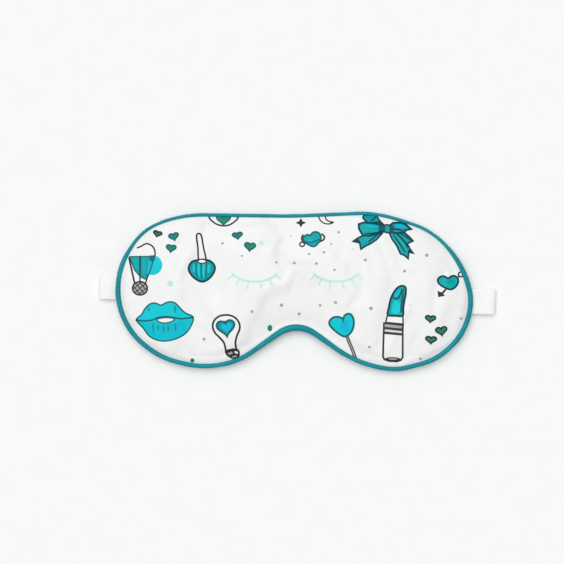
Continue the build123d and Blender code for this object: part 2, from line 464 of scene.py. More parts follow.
# ---- materials
def srgb(*display):
    """Linear colour of an 8-bit display colour."""
    linear = []
    for value in display:
        value /= 255
        linear.append(value / 12.92 if value <= 0.04045 else ((value + 0.055) / 1.055) ** 2.4)
    return (*linear, 1.0)


GAP_PAINTED_SHADE = 0.72  # how bright the painted shade in the gaps between threads is


def fabric(
    name, colour, shade, thread=0.45, twill=35, bump=0.12, rough=(0.42, 0.55), sheen=0.2,
    gloss=0.3, depth=0.35
):
    """Woven cloth: threads two ways in bump and painted shade, and a slow drift of colour and
    roughness.

    colour drifts to shade, thread is the thread spacing in millimetres, twill its angle, rough the
    range of roughness, and depth how much painted shade darkens the gaps between threads.
    """
    material = bpy.data.materials.new(name)
    material.use_nodes = True
    nodes = material.node_tree.nodes

    def wire(node, **inputs):
        """Gives a node's inputs constants or other nodes' outputs."""
        for key, value in inputs.items():
            socket = node.inputs[key.replace("_", " ")]
            if isinstance(value, bpy.types.NodeSocket):
                material.node_tree.links.new(value, socket)
            else:
                socket.default_value = value
        return node

    def blend(share, first, second):
        """Mixes two colours."""
        mix = nodes.new("ShaderNodeMix")
        mix.data_type = "RGBA"
        return wire(mix, Factor=share, A=first, B=second).outputs["Result"]

    def ranged(value, **inputs):
        """Maps a value onto another range."""
        return wire(nodes.new("ShaderNodeMapRange"), Value=value, **inputs).outputs["Result"]

    spot = nodes.new("ShaderNodeTexCoord").outputs["Object"]
    turned = wire(nodes.new("ShaderNodeMapping"), Vector=spot, Rotation=(0, 0, radians(twill)))
    weave = nodes.new("ShaderNodeMath")
    weave.operation = "MAXIMUM"
    for slot, direction in enumerate(("X", "Y")):
        wave = nodes.new("ShaderNodeTexWave")
        wave.bands_direction = direction
        wire(
            wave, Vector=turned.outputs["Vector"], Scale=2 * pi / (20 * thread * MM),
            Distortion=1.2, Detail=1.0, Detail_Scale=900,
        )
        material.node_tree.links.new(wave.outputs["Fac"], weave.inputs[slot])
    threads = weave.outputs["Value"]
    drift = wire(nodes.new("ShaderNodeTexNoise"), Vector=spot, Scale=90, Detail=4).outputs["Fac"]
    dyed = blend(ranged(drift, From_Min=0.35, From_Max=0.7), srgb(*colour), srgb(*shade))
    # Painted shade: the colour darkens in the gaps between threads, standing in for shade in the
    # weave.
    gap_shade_colour = (*(value * GAP_PAINTED_SHADE for value in srgb(*shade)[:3]), 1.0)
    gaps = ranged(threads, From_Min=0.75, From_Max=0.2, To_Max=depth)
    relief = wire(
        nodes.new("ShaderNodeBump"), Height=threads, Strength=bump, Distance=0.05 * MM
    )
    wire(
        nodes["Principled BSDF"],
        Base_Color=blend(gaps, dyed, gap_shade_colour),
        Roughness=ranged(drift, To_Min=rough[0], To_Max=rough[1]),
        Normal=relief.outputs["Normal"],
        Sheen_Weight=sheen,
        Sheen_Roughness=0.4,
        Specular_IOR_Level=gloss,
    )
    return material


INKS = {  # ink: material, colour, and the colour it drifts to
    "white": ("satin_white", (240, 240, 240), (235, 236, 236)),
    "dark": ("ink_dark", (46, 44, 46), (58, 55, 56)),
    "teal": ("ink_teal", (0, 203, 216), (0, 192, 206)),
    "ribbon": ("ink_ribbon_teal", (0, 172, 175), (2, 162, 167)),
    "aqua": ("ink_aqua", (0, 184, 220), (2, 176, 212)),
    "lower": ("ink_soft_teal", (0, 192, 208), (0, 184, 200)),
    "shade": ("ink_shade_teal", (0, 156, 164), (4, 148, 156)),
    "navy": ("ink_navy_teal", (0, 60, 72), (6, 70, 80)),
    "deep": ("ink_deep_teal", (2, 96, 104), (8, 106, 112)),
    "green": ("ink_green", (30, 128, 98), (40, 140, 110)),
    "mint": ("ink_mint", (186, 232, 226), (196, 236, 230)),
    "grey": ("ink_grey", (158, 160, 160), (170, 172, 172)),
}
INK_ORDER = list(INKS)
# The front's satin, plain or printed: the weave under the ink stays the same, its gloss doesn't.
SATIN_WEAVE = dict(thread=0.4, twill=42, bump=0.3, rough=(0.34, 0.5), depth=0.16)
PLAIN_GLOSS, INK_GLOSS = 0.35, 0.12
ink_satins = [
    fabric(*dye, sheen=0.0, gloss=PLAIN_GLOSS if ink == "white" else INK_GLOSS, **SATIN_WEAVE)
    for ink, dye in INKS.items()
]

# ---- the print
# Shapes in paint order: each is an ink and a closed loop of millimetre points.
print_inks = ["white"]
print_loops = [inset_loop(RIM_INSET)]


def fill(ink, points):
    print_inks.append(ink)
    print_loops.append(np.asarray(points, float))


def shape(ink, points, line=0.75, edge="dark"):
    """A filled shape with a drawn outline."""
    points = np.asarray(points, float)
    fill(edge, grow(points, line / 2))
    fill(ink, grow(points, -line / 2))


def stroke(ink, points, wide=0.75, thin=1.0):
    """An open pen stroke with pointed caps; thin under 1 narrows it towards both ends."""
    points = np.asarray(points, float)
    along = unit(np.gradient(points, axis=0))
    press = thin + (1 - thin) * np.sin(pi * np.linspace(0.04, 0.96, len(points))) ** 0.7
    side = np.c_[-along[:, 1], along[:, 0]] * wide / 2 * press[:, None]
    cap = wide * thin / 2
    ends = [points[0] - along[0] * cap, points[-1] + along[-1] * cap]
    fill(ink, np.vstack([points + side, ends[1:], (points - side)[::-1], ends[:1]]))


def grow(points, by):
    """A closed loop moved outwards along its normals, or inwards when by is negative.

    Points that would end up nearer to the loop than that are dropped, so it can't cross itself.
    """
    before = points - np.roll(points, 1, 0)
    after = np.roll(points, -1, 0) - points
    before /= np.maximum(norm(before, axis=1), 1e-9)[:, None]
    after /= np.maximum(norm(after, axis=1), 1e-9)[:, None]
    normal = np.c_[before[:, 1] + after[:, 1], -before[:, 0] - after[:, 0]]
    square = np.maximum((normal**2).sum(1), 0.8)[:, None]
    moved = points + np.sign(signed_area(points)) * normal * 2 / square * by
    dense = resample(points, 4 * len(points))
    gap = norm(moved[:, None, :] - dense[None, :, :], axis=2).min(1)
    return moved[gap > 0.93 * abs(by)]


def curve(points, per=4, closed=True):
    """A smooth line through a few points."""
    points = np.asarray(points, float)
    ends = (points[-1:], points[:2]) if closed else (points[:1], points[-1:])
    ring = np.vstack([ends[0], points, ends[1]])
    line = []
    for k in range(1, len(ring) - 2):
        a, b, c, d = ring[k - 1 : k + 3]
        square, cube = 2 * a - 5 * b + 4 * c - d, 3 * b - a - 3 * c + d
        for t in np.arange(per) / per:
            line.append(0.5 * (2 * b + (c - a) * t + square * t**2 + cube * t**3))
    if not closed:
        line.append(points[-1])
    return np.array(line)


def pen(points, per=4):
    """A smooth open line through a few points."""
    return curve(points, per, False)


def place(points, centre, turn=0):
    """Points drawn about the origin, turned in degrees and moved."""
    c, s = cos(radians(turn)), sin(radians(turn))
    return np.asarray(points, float) @ np.array([[c, s], [-s, c]]) + centre


def heart(wide, plump=1.0, count=32):
    """A heart about the origin, pointing down."""
    t = np.arange(4 * count) * pi / (2 * count)
    x = 16 * np.sin(t) ** 3
    y = 13 * np.cos(t) - 5 * np.cos(2 * t) - 2 * np.cos(3 * t) - np.cos(4 * t) + 2.5
    return resample(np.c_[x, y * plump] * wide / 32, count)


def oval(wide, high, count=26):
    t = np.arange(count) * 2 * pi / count
    return np.c_[wide / 2 * np.cos(t), high / 2 * np.sin(t)]


def arc(wide, high, first, last, count=14):
    t = np.radians(np.linspace(first, last, count))
    return np.c_[wide / 2 * np.cos(t), high / 2 * np.sin(t)]


def straight(a, b, count=4):
    return np.linspace(a, b, count)


# Balloon
fill("teal", oval(11.8, 11.8) + (-82.8, 15.4))
shape("shade", [
    (-96.6, 20.4), (-81.6, 20.6), (-84, 12), (-86.2, 6.8), (-90, 8.6), (-93.6, 12.8)
], 0.7, "deep")
fill("ribbon", [(-89.2, 19.6), (-86.6, 19.6), (-86.2, 12), (-88.6, 10)])
fill("aqua", [(-85.2, 18.6), (-83, 16.6), (-84.8, 11), (-85.8, 10.2)])
fill("ribbon", [(-94.6, 18.8), (-91.6, 19.4), (-91.4, 13.2), (-92.6, 13.4)])
fill("deep", oval(3.2, 3, 12) + (-82.8, 19.2))
stroke("dark", pen([
    (-92, 25.6), (-90.2, 26.2), (-86.4, 28), (-82.6, 26.2), (-81.2, 22.8), (-81.6, 20.4)
], 5), 0.95)
stroke("dark", straight((-96.8, 19.6), (-93.2, 4.6)), 1.1)
stroke("navy", straight((-90.1, 20.6), (-90.1, 5.4)), 0.9)
stroke("dark", straight((-85.4, 9.6), (-86.8, 4.6)), 0.9)
shape("grey", oval(8.8, 7.8) + (-90.1, 1.8), 1)
for offset in (-2.2, 0, 2.2):
    reach = 3.7 if offset == 0 else 2.9
    for turn in (40, -50):
        wire = place(straight((-reach, offset), (reach, offset)), (-90.1, 1.8), turn)
        stroke("dark", wire, 0.6)

# Nail polish brush
shape("white", curve([
    (-57, 32.4), (-55.8, 33.9), (-54.2, 32.6), (-52.9, 25.6), (-51.6, 18.4), (-55.6, 18.2),
    (-56.2, 25.6)
]), 1)
shape("shade", curve([
    (-56.4, 18.3), (-59.8, 17.2), (-61.5, 14), (-60.9, 11), (-57.9, 7.6), (-53.6, 5.7),
    (-49.6, 7.6), (-46.9, 11.2), (-46.3, 14.6), (-48.6, 17.5), (-52, 18.6)
]), 1.3, "navy")
for x, top, foot, lean in (
    (-58.6, 15.8, 11.2, 0.5), (-55.7, 16.2, 8.4, 0.3), (-52.7, 16.2, 8.2, 0),
    (-49.4, 15.8, 11, -0.4),
):
    stroke("teal", pen([
        (x, top), (x - 0.3 + lean, (top + foot) / 2), (x + lean, foot)
    ], 5), 1.7, 0.3)
for x, lean in ((-57.2, 0.9), (-54.1, 0.1), (-51, -0.8)):
    stroke("deep", pen([(x, 17), (x - 0.2, 12.6), (x + lean, 7.8)], 5), 0.8, 0.4)
shape("white", oval(5, 2.4, 16) + (-53.8, 17.6), 0.7)

# Lips
shape("teal", curve([
    (-92.4, -16.8), (-89.2, -13.6), (-86.8, -9.6), (-83.8, -7.2), (-80.8, -6.9), (-77.8, -8.1),
    (-75, -6.7), (-72.2, -6.1), (-69.2, -7), (-66.4, -10), (-63.4, -12.7), (-58.9, -15.1),
    (-60.3, -20.4), (-63.2, -24.4), (-67.2, -27), (-71.6, -28.5), (-76, -29.1), (-80.6, -28.4),
    (-85, -26), (-88.2, -21.6)
], 3), 0.9, "deep")
fill("lower", curve([
    (-90.4, -17.6), (-84, -17.6), (-79, -18.8), (-75, -19.4), (-70.6, -18.4), (-66, -16.9),
    (-60.2, -16.6), (-61.6, -20.6), (-65.6, -25.2), (-72, -27.6), (-77.6, -27.8), (-84, -25.4),
    (-87.4, -21.4)
], 3))
stroke("deep", pen([
    (-92.6, -16.9), (-87.4, -17.3), (-82.6, -16.7), (-79.6, -15.3), (-75.2, -14.8), (-70.8, -15.2),
    (-66.6, -16), (-62.4, -15.7), (-58.8, -15.2)
]), 0.95)
shape("white", curve([
    (-80.2, -16.5), (-76.8, -15.5), (-73, -15.4), (-69.8, -16.1), (-71.6, -17.7), (-75, -18.5),
    (-78.4, -18.1)
]), 0.8, "deep")
for x, high, low in (
    (-82.4, -18.4, -24.6), (-79.6, -19.6, -23), (-76.4, -19.8, -24),
    (-73.6, -19.8, -23.6), (-69.4, -18.6, -23.2),
):
    stroke("shade", straight((x, high), (x + 0.2, low), 7), 1.3, 0.25)
for x, high, low in ((-85, -9, -11.6), (-69.6, -8.4, -12.4)):
    stroke("shade", straight((x, high), (x, low), 7), 1.4, 0.25)
fill("dark", oval(1.9, 1, 10) + (-91.8, -16.8))
fill("dark", oval(1.7, 1.1, 10) + (-59.4, -15.2))

# Light bulb
shape("white", curve([
    (-40, -13.8), (-43.8, -14.6), (-46.7, -17.2), (-47.5, -20.6), (-46.2, -24.2), (-43.2, -27.3),
    (-41, -30), (-40.1, -33), (-39.2, -35.4), (-34.2, -34.4), (-34.2, -30), (-33.3, -26),
    (-31.7, -22), (-32, -18.4), (-34.2, -15.5), (-37, -14.1)
]), 1.15)
shape("shade", place(heart(10.6, 0.98), (-39.7, -21.8), 8), 1.2, "deep")
fill("aqua", place(heart(6.4, 1), (-39.2, -21.6), 8))
fill("dark", curve([
    (-40.1, -34.6), (-34.4, -33.4), (-31.9, -34.8), (-31.8, -38), (-33.4, -40.2), (-36.8, -39.4),
    (-39.6, -37.4)
]))
fill("grey", [(-38.9, -36.4), (-36.7, -35.3), (-35.6, -36.3), (-37.6, -37.3)])
fill("white", [(-34.8, -35), (-32.9, -35.5), (-32.8, -36.7), (-34.5, -36.4)])
fill("grey", [(-36.4, -38.2), (-33.6, -37.6), (-33.4, -38.4), (-35.8, -39)])
fill("green", [(-36.2, -39.9), (-32, -38.8), (-30.6, -40.2), (-34.6, -41.6)])

# Eye
shape("white", curve([
    (-49.8, 43.8), (-47.6, 41), (-44.6, 39.2), (-41.2, 38.5), (-37.8, 39.1), (-34.8, 41),
    (-32.8, 43.4), (-36, 45.4), (-41.2, 46.2), (-46.6, 45.6)
]), 1)
shape("green", place(heart(8.2, 0.86), (-41.3, 42)), 0.8, "deep")

# Sparkle
t = np.arange(16) * pi / 8
reach = np.tile([3.1, 1.9, 1.4, 1.9], 4)
star = np.c_[reach * np.cos(t), reach * np.sin(t) * 0.9]
fill("dark", place(star, (4.2, 40.3)))

# Moon
shape("white", curve([
    (14.9, 44.2), (15.6, 41.8), (17.8, 40.1), (20.6, 39.6), (23.2, 40.5), (20.6, 41.2),
    (18.9, 42.6), (18.4, 44.4)
]), 0.8)
fill("dark", oval(2, 1.6, 12) + (22.4, 40.5))

# Planet
stroke("dark", pen([(15.4, 29.2), (17.5, 30.4), (17.9, 32.2), (16.4, 33.6)]), 1.1)
stroke("dark", pen([(5.4, 33.2), (4.6, 31.2), (5.2, 29.2)]), 1)
shape("ribbon", curve([
    (9.8, 33), (7.6, 33.2), (5.7, 31.7), (6, 29.4), (8.2, 27.6), (11.8, 26.3), (14.4, 28.4),
    (15.9, 31), (15.2, 33.8), (13, 34.9), (11, 34.4)
]), 1.1, "deep")
fill("aqua", oval(2.6, 2, 12) + (9.2, 29.4))
stroke("deep", pen([(6.2, 29.2), (10.6, 28.8), (15, 30.6)]), 0.8)
shape("white", oval(2.8, 2.6, 14) + (4.9, 27.6), 0.9)

# Bow
shape("shade", [
    (40.6, 43.2), (41.4, 45), (48.4, 45), (50.4, 41.6), (52.6, 39.6), (44.2, 40), (41.8, 41.6)
], 1, "navy")
shape("shade", [
    (57.8, 34.4), (64.8, 34.6), (67.8, 32), (69.9, 29.6), (67.4, 28.4), (65, 26.6), (60.6, 30.4)
], 1.1, "navy")
shape("ribbon", [
    (55.9, 34.8), (60.2, 34), (64, 30.2), (67.4, 26.4), (68, 25), (70.5, 22), (67.3, 23.2),
    (67, 19.3), (64.8, 21.2), (62.6, 22), (60.4, 26.8), (57.6, 30.8)
], 1.1, "navy")
shape("ribbon", [
    (41.2, 32.9), (37.6, 31.3), (34.7, 29.3), (38.7, 28.5), (39.4, 24.8), (42.4, 26.8),
    (44.8, 27.9), (48.4, 30.3), (51.6, 33.8), (49.2, 34.6)
], 1.1, "navy")
shape("ribbon", [
    (38.2, 39.5), (41.2, 40.4), (47, 39.9), (53, 38.8), (53.2, 35.2), (49, 33.5), (44, 32.6),
    (40.5, 32.8), (39.3, 34.8), (38.2, 37)
], 1.2, "navy")
shape("shade", [
    (56.3, 38.7), (58.4, 40.3), (63.6, 40.4), (66.4, 38.9), (69, 36.6), (66.2, 36), (64.8, 34.5),
    (60, 34.2), (56.5, 35)
], 1.2, "navy")
fill("aqua", [(59.8, 39.2), (63.4, 39.5), (65.8, 38.2), (66.2, 37.2), (62.6, 37.4), (59.8, 38)])
fill("aqua", [(43.6, 38.9), (49, 38.4), (49.6, 37.4), (43.8, 37.5)])
fill("deep", [(50, 38.9), (52.9, 38.4), (52.9, 35.5), (50.6, 34.7), (49.6, 36.7)])
fill("deep", [(56.6, 38.3), (58.6, 39.4), (59.4, 37), (58.6, 35), (56.6, 35.2)])
fill("deep", [(62.6, 35), (64.6, 36.6), (67.8, 36.9), (66, 36), (64.7, 34.7)])
for crease, wide in (
    ([(52.2, 35.6), (47, 34.1), (41.4, 33.9)], 0.9),
    ([(44.8, 41.2), (47.4, 42.8), (47.8, 44.6)], 0.8),
    ([(49.4, 33.2), (45.8, 30.6), (43.4, 28.6)], 0.8),
    ([(58.2, 33.4), (62, 28.2), (65.4, 22.6)], 0.9),
    ([(60.6, 33.4), (65, 28.8), (66.8, 25.2)], 0.8),
    ([(62.6, 33.8), (66.2, 31.8), (68.6, 29.6)], 0.8),
    ([(57.6, 36.6), (60.8, 36.4), (63.8, 35.6)], 0.9),
):
    stroke("navy", pen(crease, 6), wide * 1.15, 0.3)
shape("shade", curve([(53.4, 38.8), (56.4, 38.6), (56.6, 34.7), (53.4, 34.9)]), 0.9, "navy")

# Heart and arrow
stroke("dark", straight((97.4, 9.2), (86.4, -1.4), 6), 0.95)
shape("white", oval(3, 2.8, 14) + (98.2, 9.9), 0.9)
shape("ribbon", curve([
    (90.5, 7.7), (87.7, 9), (84.9, 7.8), (84.5, 5.6), (86.7, 3.2), (91.9, 1.1), (95.6, 3.4),
    (96.7, 6.6), (94.9, 9), (92.3, 8.8)
]), 1.15, "navy")
fill("shade", place(oval(4.6, 2.6, 14), (91.9, 5.6), 20))
fill("dark", [
    (84.2, 0.4), (84.6, -3.4), (88.6, -2.6), (87.6, -1.4), (89.2, 0.4), (88.2, 1.2), (86.6, -0.6)
])

# Lollipop
stick = pen([(31, -25.8), (32.6, -30), (34.8, -35.2), (37, -41.6)])
stroke("dark", stick, 2)
stroke("grey", stick, 0.7)
shape("teal", curve([
    (28.9, -16), (26.4, -15), (23.2, -15.3), (20.9, -17.7), (21.5, -20.4), (24.4, -23.3),
    (27.4, -25.5), (30.4, -26.5), (33.6, -24), (35.1, -20), (34.9, -15.8), (33.2, -13.3),
    (31, -13.3), (29.5, -14.6)
]), 1.2, "deep")
fill("aqua", curve([
    (29.4, -17.2), (31.8, -18.6), (32.6, -21.6), (31, -24.2), (28.4, -23), (27.6, -20)
]))
stroke("deep", pen([(28.8, -15.4), (29, -16.8), (28.6, -18)]), 0.8)

# Lipstick
shape("white", [
    (52.7, -24.4), (63.9, -25.4), (64, -38.6), (63, -40.4), (60.6, -41.2), (56, -41), (53.2, -40),
    (52.4, -38.4)
], 1.1)
fill("dark", place(oval(9.4, 2.6, 20), (58.3, -39.9), -2))
fill("grey", place(oval(5.4, 1, 14), (58.2, -39.7), -2))
shape("grey", [(52.8, -18.6), (64, -19.7), (63.9, -25.2), (52.7, -24.1)], 1)
stroke("dark", straight((53, -21.4), (63.8, -22.5)), 1.3)
stroke("white", straight((53.8, -22.9), (63.2, -23.9)), 0.6)
shape("white", [(55, -13.6), (63.9, -14.2), (64.1, -19.2), (53.8, -18.2)], 0.9)
shape("ribbon", curve([
    (55.1, -13.8), (55.7, -9.6), (56.7, -4.8), (58.5, -0.8), (60.9, 2.2), (63.2, 3.2), (65.4, 2.4),
    (65.6, -1.2), (64.7, -6), (64.1, -10), (63.8, -14.2), (59.6, -14.3)
]), 1.25, "navy")
fill("teal", curve([(57.4, -12.6), (61.6, -12.8), (62.2, -7.4), (60.6, -5.6), (58.4, -6.6)]))
stroke("deep", straight((64.2, 1.6), (62.8, -12.6), 9), 1.5, 0.3)
stroke("navy", pen([(57.6, -3.6), (60.8, -4.2), (62.6, -1.4), (63.4, 1.6)], 5), 0.9, 0.4)
fill("aqua", curve([(59, -2.4), (61, -2.4), (62.3, 0.6), (61, 1)]))

# The pale motif in the middle: two closed eyes with lashes
for side, middle in ((-1, -22.8), (1, 24.8)):
    lid = place(arc(28, 15, 200, 340, 22), (middle, 13.2))
    stroke("mint", lid, 1.3)
    for angle in (208, 232, 256, 284, 308, 332):
        c, s = cos(radians(angle)), sin(radians(angle))
        root = np.array([middle + 14.0 * c, 13.2 + 7.5 * s])
        tip = root + np.array([c * 3.6 + side * 0.5, s * 3.8 - 0.9])
        stroke("mint", straight(root, tip, 5), 1, 0.5)

SMALL_HEARTS = [  # centre x, y, width, height share, turn, edge ink
    (-80, 33.7, 5, 0.7, -16, "dark"), (-70.3, 32, 5.7, 0.8, 14, "deep"),
    (-71.9, 25.1, 5.6, 0.8, -6, "deep"), (-33, 32.6, 5.8, 0.72, 8, "deep"),
    (-25.7, 26, 6.4, 0.82, -6, "deep"), (80, -16.2, 6, 0.72, -4, "dark"),
    (86.6, -23.4, 6.8, 0.8, 8, "dark"), (80.4, -28.6, 6.4, 0.72, -4, "dark"),
]
DOTS = {  # ink: centre x, y and size of each
    "grey": [
        (-52.6, -28, 1.9), (-24.4, -11.8, 1.8), (-7.2, -8.1, 2.1), (3.2, -13.2, 1.9),
        (-10.1, 17, 1.4), (-30.4, 20.8, 1.3), (-41.8, 28.2, 1.5), (0.3, 16.6, 1.8),
        (13.2, 16.3, 1.7), (23.8, 12.6, 1.5), (41.9, 18.4, 1.8), (17.6, 22.9, 1.5),
        (9, 21.9, 1.5), (26.3, 34.7, 1.6), (22, 27.8, 1.2), (24.5, -6.5, 1.8), (15.5, -8.2, 1.7),
        (45.2, -9.9, 2.2), (44.4, -32.7, 1.7), (65, 11.9, 1.8), (77.9, 21.2, 2.1),
        (98.2, -15.9, 1.7), (74.4, -39.6, 1.7),
    ],
    "mint": [(-72.2, 4.6, 3.6), (-19, 28.4, 3), (-1.6, 32.4, 1.4), (68, -8, 1.4), (34.6, 24.6, 1.3)],
    "green": [(-59.6, -40.6, 2.6)],
}

for x, y, wide, plump, turn, edge in SMALL_HEARTS:
    shape("green", place(heart(wide, plump, 24), (x, y), turn), 1.0, edge)
fill("green", oval(2.9, 3.9, 16) + (-14, -21.6))
for ink, dots in DOTS.items():
    for x, y, size in dots:
        fill(ink, oval(size, size, 14) + (x, y))

# ---- front, back and what is between them
PANEL_SPACING = 1.6
LINING_INSET = 2.1
LINING_DROP = 0.55
LINING_PLY = 0.3
PADDING_INSET = 7.1
PADDING_GAP = 0.1
INNER_SPACING = 2.4


def panel_points():
    """Loose points of a panel: rows that follow its rim, then an even field."""
    rows = [inset_loop(inset) for inset in (1.7, 2.4, 3.2, 4.2)]
    return np.vstack([*rows, hex_points(PANEL_SPACING, 5.0)])


points, tris, owners = triangulate(print_loops, panel_points())
top = front_height(points)
slots = [INK_ORDER.index(print_inks[owner]) for owner in owners]
front_slopes = slopes(front_height, points)
front = ply_object("mask_front", points, tris, top, top - PLY, front_slopes, ink_satins, slots)
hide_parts("front_panel")
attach(front, "mask")

back_satin = fabric("back_satin", (238, 240, 240), (232, 235, 235), **SATIN_WEAVE)
points, tris, _ = triangulate([inset_loop(RIM_INSET)], panel_points())
low = back_height(points)
back = ply_object(
    "mask_back", points, tris, low + PLY, low, slopes(back_height, points), [back_satin]
)
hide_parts("back_panel")
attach(back, "mask")

lining_cloth = fabric(
    "lining_cloth", (34, 34, 38), (48, 48, 54), thread=0.35, twill=0, bump=0.2, rough=(0.7, 0.85)
)
points, tris, _ = triangulate(
    [inset_loop(LINING_INSET, 2)], hex_points(INNER_SPACING, LINING_INSET + 1.5)
)
top = front_height(points) - LINING_DROP
front_slopes = slopes(front_height, points)
lining = ply_object(
    "blackout_ply", points, tris, top, top - LINING_PLY, front_slopes, [lining_cloth]
)
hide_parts("blackout_lining")
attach(lining, "mask")

fleece = fabric(
    "padding_fleece", (226, 226, 222), (208, 208, 204), thread=1.1, twill=20, bump=0.5,
    rough=(0.85, 0.95), sheen=0.4,
)
points, tris, _ = triangulate(
    [inset_loop(PADDING_INSET, 2)], hex_points(INNER_SPACING, PADDING_INSET + 1.5)
)
top = front_height(points) - LINING_DROP - LINING_PLY - PADDING_GAP
low = back_height(points) + PLY + PADDING_GAP
pad = ply_object("padding_fleece", points, tris, top, low, slopes(front_height, points), [fleece])
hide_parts("padding")
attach(pad, "mask")


# ---- piping
PIPING_COUNT = 1500
PIPING_SOFTNESS = 1.0
PIPING_SIDES = 22
FLANGE_REACH = 6.5
FLANGE_HALF = 0.2
WRINKLE_PERIOD = 3.1
CORD_GAP = 0.14  # least room between the cover's radius and the cord's
CORD_RADIUS = 0.84
STRAND_PERIOD = 7.5
fine_rim = soften(resample(RIM, PIPING_COUNT), PIPING_SOFTNESS)
fine_tangent = loop_tangent(fine_rim)
fine_out = np.c_[-fine_tangent[:, 1], fine_tangent[:, 0]]
fine_along = np.arange(PIPING_COUNT) * RIM_LONG / PIPING_COUNT
gather = random.Random(11)


def drifting(period_low, period_high, terms=6):
    """A smooth random wave round the rim, about 1 high."""
    wave = np.zeros(PIPING_COUNT)
    for _ in range(terms):
        count = round(RIM_LONG / gather.uniform(period_low, period_high))
        wave += np.cos(2 * pi * (count * fine_along / RIM_LONG + gather.random()))
    return wave / sqrt(terms / 2)


def hump(value, middle, spread):
    return np.exp(-(((value - middle) / spread) ** 2))


# The piping is thin along the forehead and at the upper corners, thicker below, most at the nose.
rim_x, rim_y = fine_rim.T
low_share = 1 - ease(rim_y, 4, 42)
nose_share = hump(rim_x, 0.2, 16) * low_share
side_share = ease(np.abs(rim_x), 68, 98) * (1 - ease(rim_y, 16, 32))
corner_share = hump(np.abs(rim_x), 80, 17) * ease(rim_y, 10, 26)
piping_radius = 1.04 + 0.38 * low_share + 0.72 * nose_share + 0.2 * side_share
piping_radius = piping_radius - 0.17 * corner_share + 0.03 * drifting(9, 30)
piping_wrinkle = 0.028 * (1 + 0.8 * drifting(12, 40))
piping_phase = 2 * pi * fine_along / WRINKLE_PERIOD + 0.9 * drifting(8, 25)
piping_lift = 0.08 * drifting(20, 60)
flange_wave = 0.05 * drifting(4, 9)


def piping_profile(k):
    """The cover's round, open towards the panels, and its flange."""
    profile = []
    for angle in np.linspace(-pi + 0.2, pi - 0.2, PIPING_SIDES):
        radius = piping_radius[k] + piping_wrinkle[k] * sin(piping_phase[k] + 1.6 * angle)
        radius += 0.02 * sin(2.3 * piping_phase[k] - 2.2 * angle)
        profile.append((radius * cos(angle), piping_lift[k] + radius * sin(angle)))
    near, middle = 2.4, 4.4
    for up, insets in ((1, (near, middle, FLANGE_REACH)), (-1, (FLANGE_REACH, middle, near))):
        for inset in insets:
            height = up * FLANGE_HALF + flange_wave[k] * (inset - near) / 4
            profile.append((-inset, height))
    return profile


piping_satin = fabric(
    "piping_satin", (0, 144, 155), (0, 128, 141), thread=0.42, twill=45, bump=0.16,
    rough=(0.34, 0.46), sheen=0.0, gloss=0.2, depth=0.3,
)
centres = np.c_[fine_rim, np.full(PIPING_COUNT, SEAM_Z)]
piping = tube_loop("piping_cover_bias", centres, fine_out, piping_profile, [piping_satin])
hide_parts("piping_cover")
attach(piping, "mask")


def cord_profile(k):
    """Three strands laid up together, squeezed where the cover is drawn tight."""
    twist = 2 * pi * round(RIM_LONG / STRAND_PERIOD) * k / PIPING_COUNT
    squeeze = min(1.0, (piping_radius[k] - CORD_GAP) / CORD_RADIUS)
    profile = []
    for angle in np.arange(18) * 2 * pi / 18:
        radius = squeeze * (0.72 + 0.12 * abs(cos(1.5 * (angle - twist))))
        profile.append((radius * cos(angle), radius * sin(angle)))
    return profile


cotton = fabric(
    "cotton_cord", (228, 224, 212), (214, 208, 194), thread=0.3, twill=30, bump=0.4,
    rough=(0.8, 0.9), sheen=0.3,
)
cord = tube_loop("piping_filler", centres, fine_out, cord_profile, [cotton])
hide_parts("piping_cord")
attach(cord, "mask")


# ---- elastic strap
RIB_COUNT = 15
RIB_STEPS = 4
STRAP_STEPS = 170
STRAP_TOP = 3.1  # height of the elastic's middle where it enters the seam


def strap_spot(along, across, z):
    c, s = cos(STRAP_ANGLE), sin(STRAP_ANGLE)
    return (along * c - across * s, STRAP_Y + along * s + across * c, z)


def ribbed_half(name, side, route, material):
    """Half of the ribbed elastic on one side, from its middle to its sewn end.

    The route is a list of (along, height) points.
    """
    line = resample(curve(route, 12, False), STRAP_STEPS, closed=False)
    run = unit(np.gradient(line, axis=0))
    up = np.c_[-run[:, 1], run[:, 0]]
    across = np.linspace(-1, 1, RIB_COUNT * RIB_STEPS + 1)
    rings = []
    for k, (centre, normal) in enumerate(zip(line, up)):
        half_wide = STRAP_WIDE / 2 - 0.05 + 0.05 * sin(2.6 * k)
        for face in (1, -1):
            for share in across[::-face]:
                edge = (1 - abs(share) ** 10) ** 0.5
                rib = 0.5 - 0.5 * cos(pi * RIB_COUNT * (share + 1))
                thread = 0.018 * sin(2.2 * k) * cos(3 * share)
                off = face * edge * (BAND_THICK / 2 - 0.1 + 0.09 * rib + thread)
                along, z = centre + normal * off
                rings.append(strap_spot(side * along, -side * share * half_wide, z))
    count = 2 * len(across)
    faces = [tuple(range(len(rings) - count, len(rings)))] + ring_faces(len(line), count)
    half = new_object(name, rings, faces, [material])
    fix = bmesh.new()
    fix.from_mesh(half.data)
    bmesh.ops.recalc_face_normals(fix, faces=fix.faces)
    fix.to_mesh(half.data)
    fix.free()
    return half


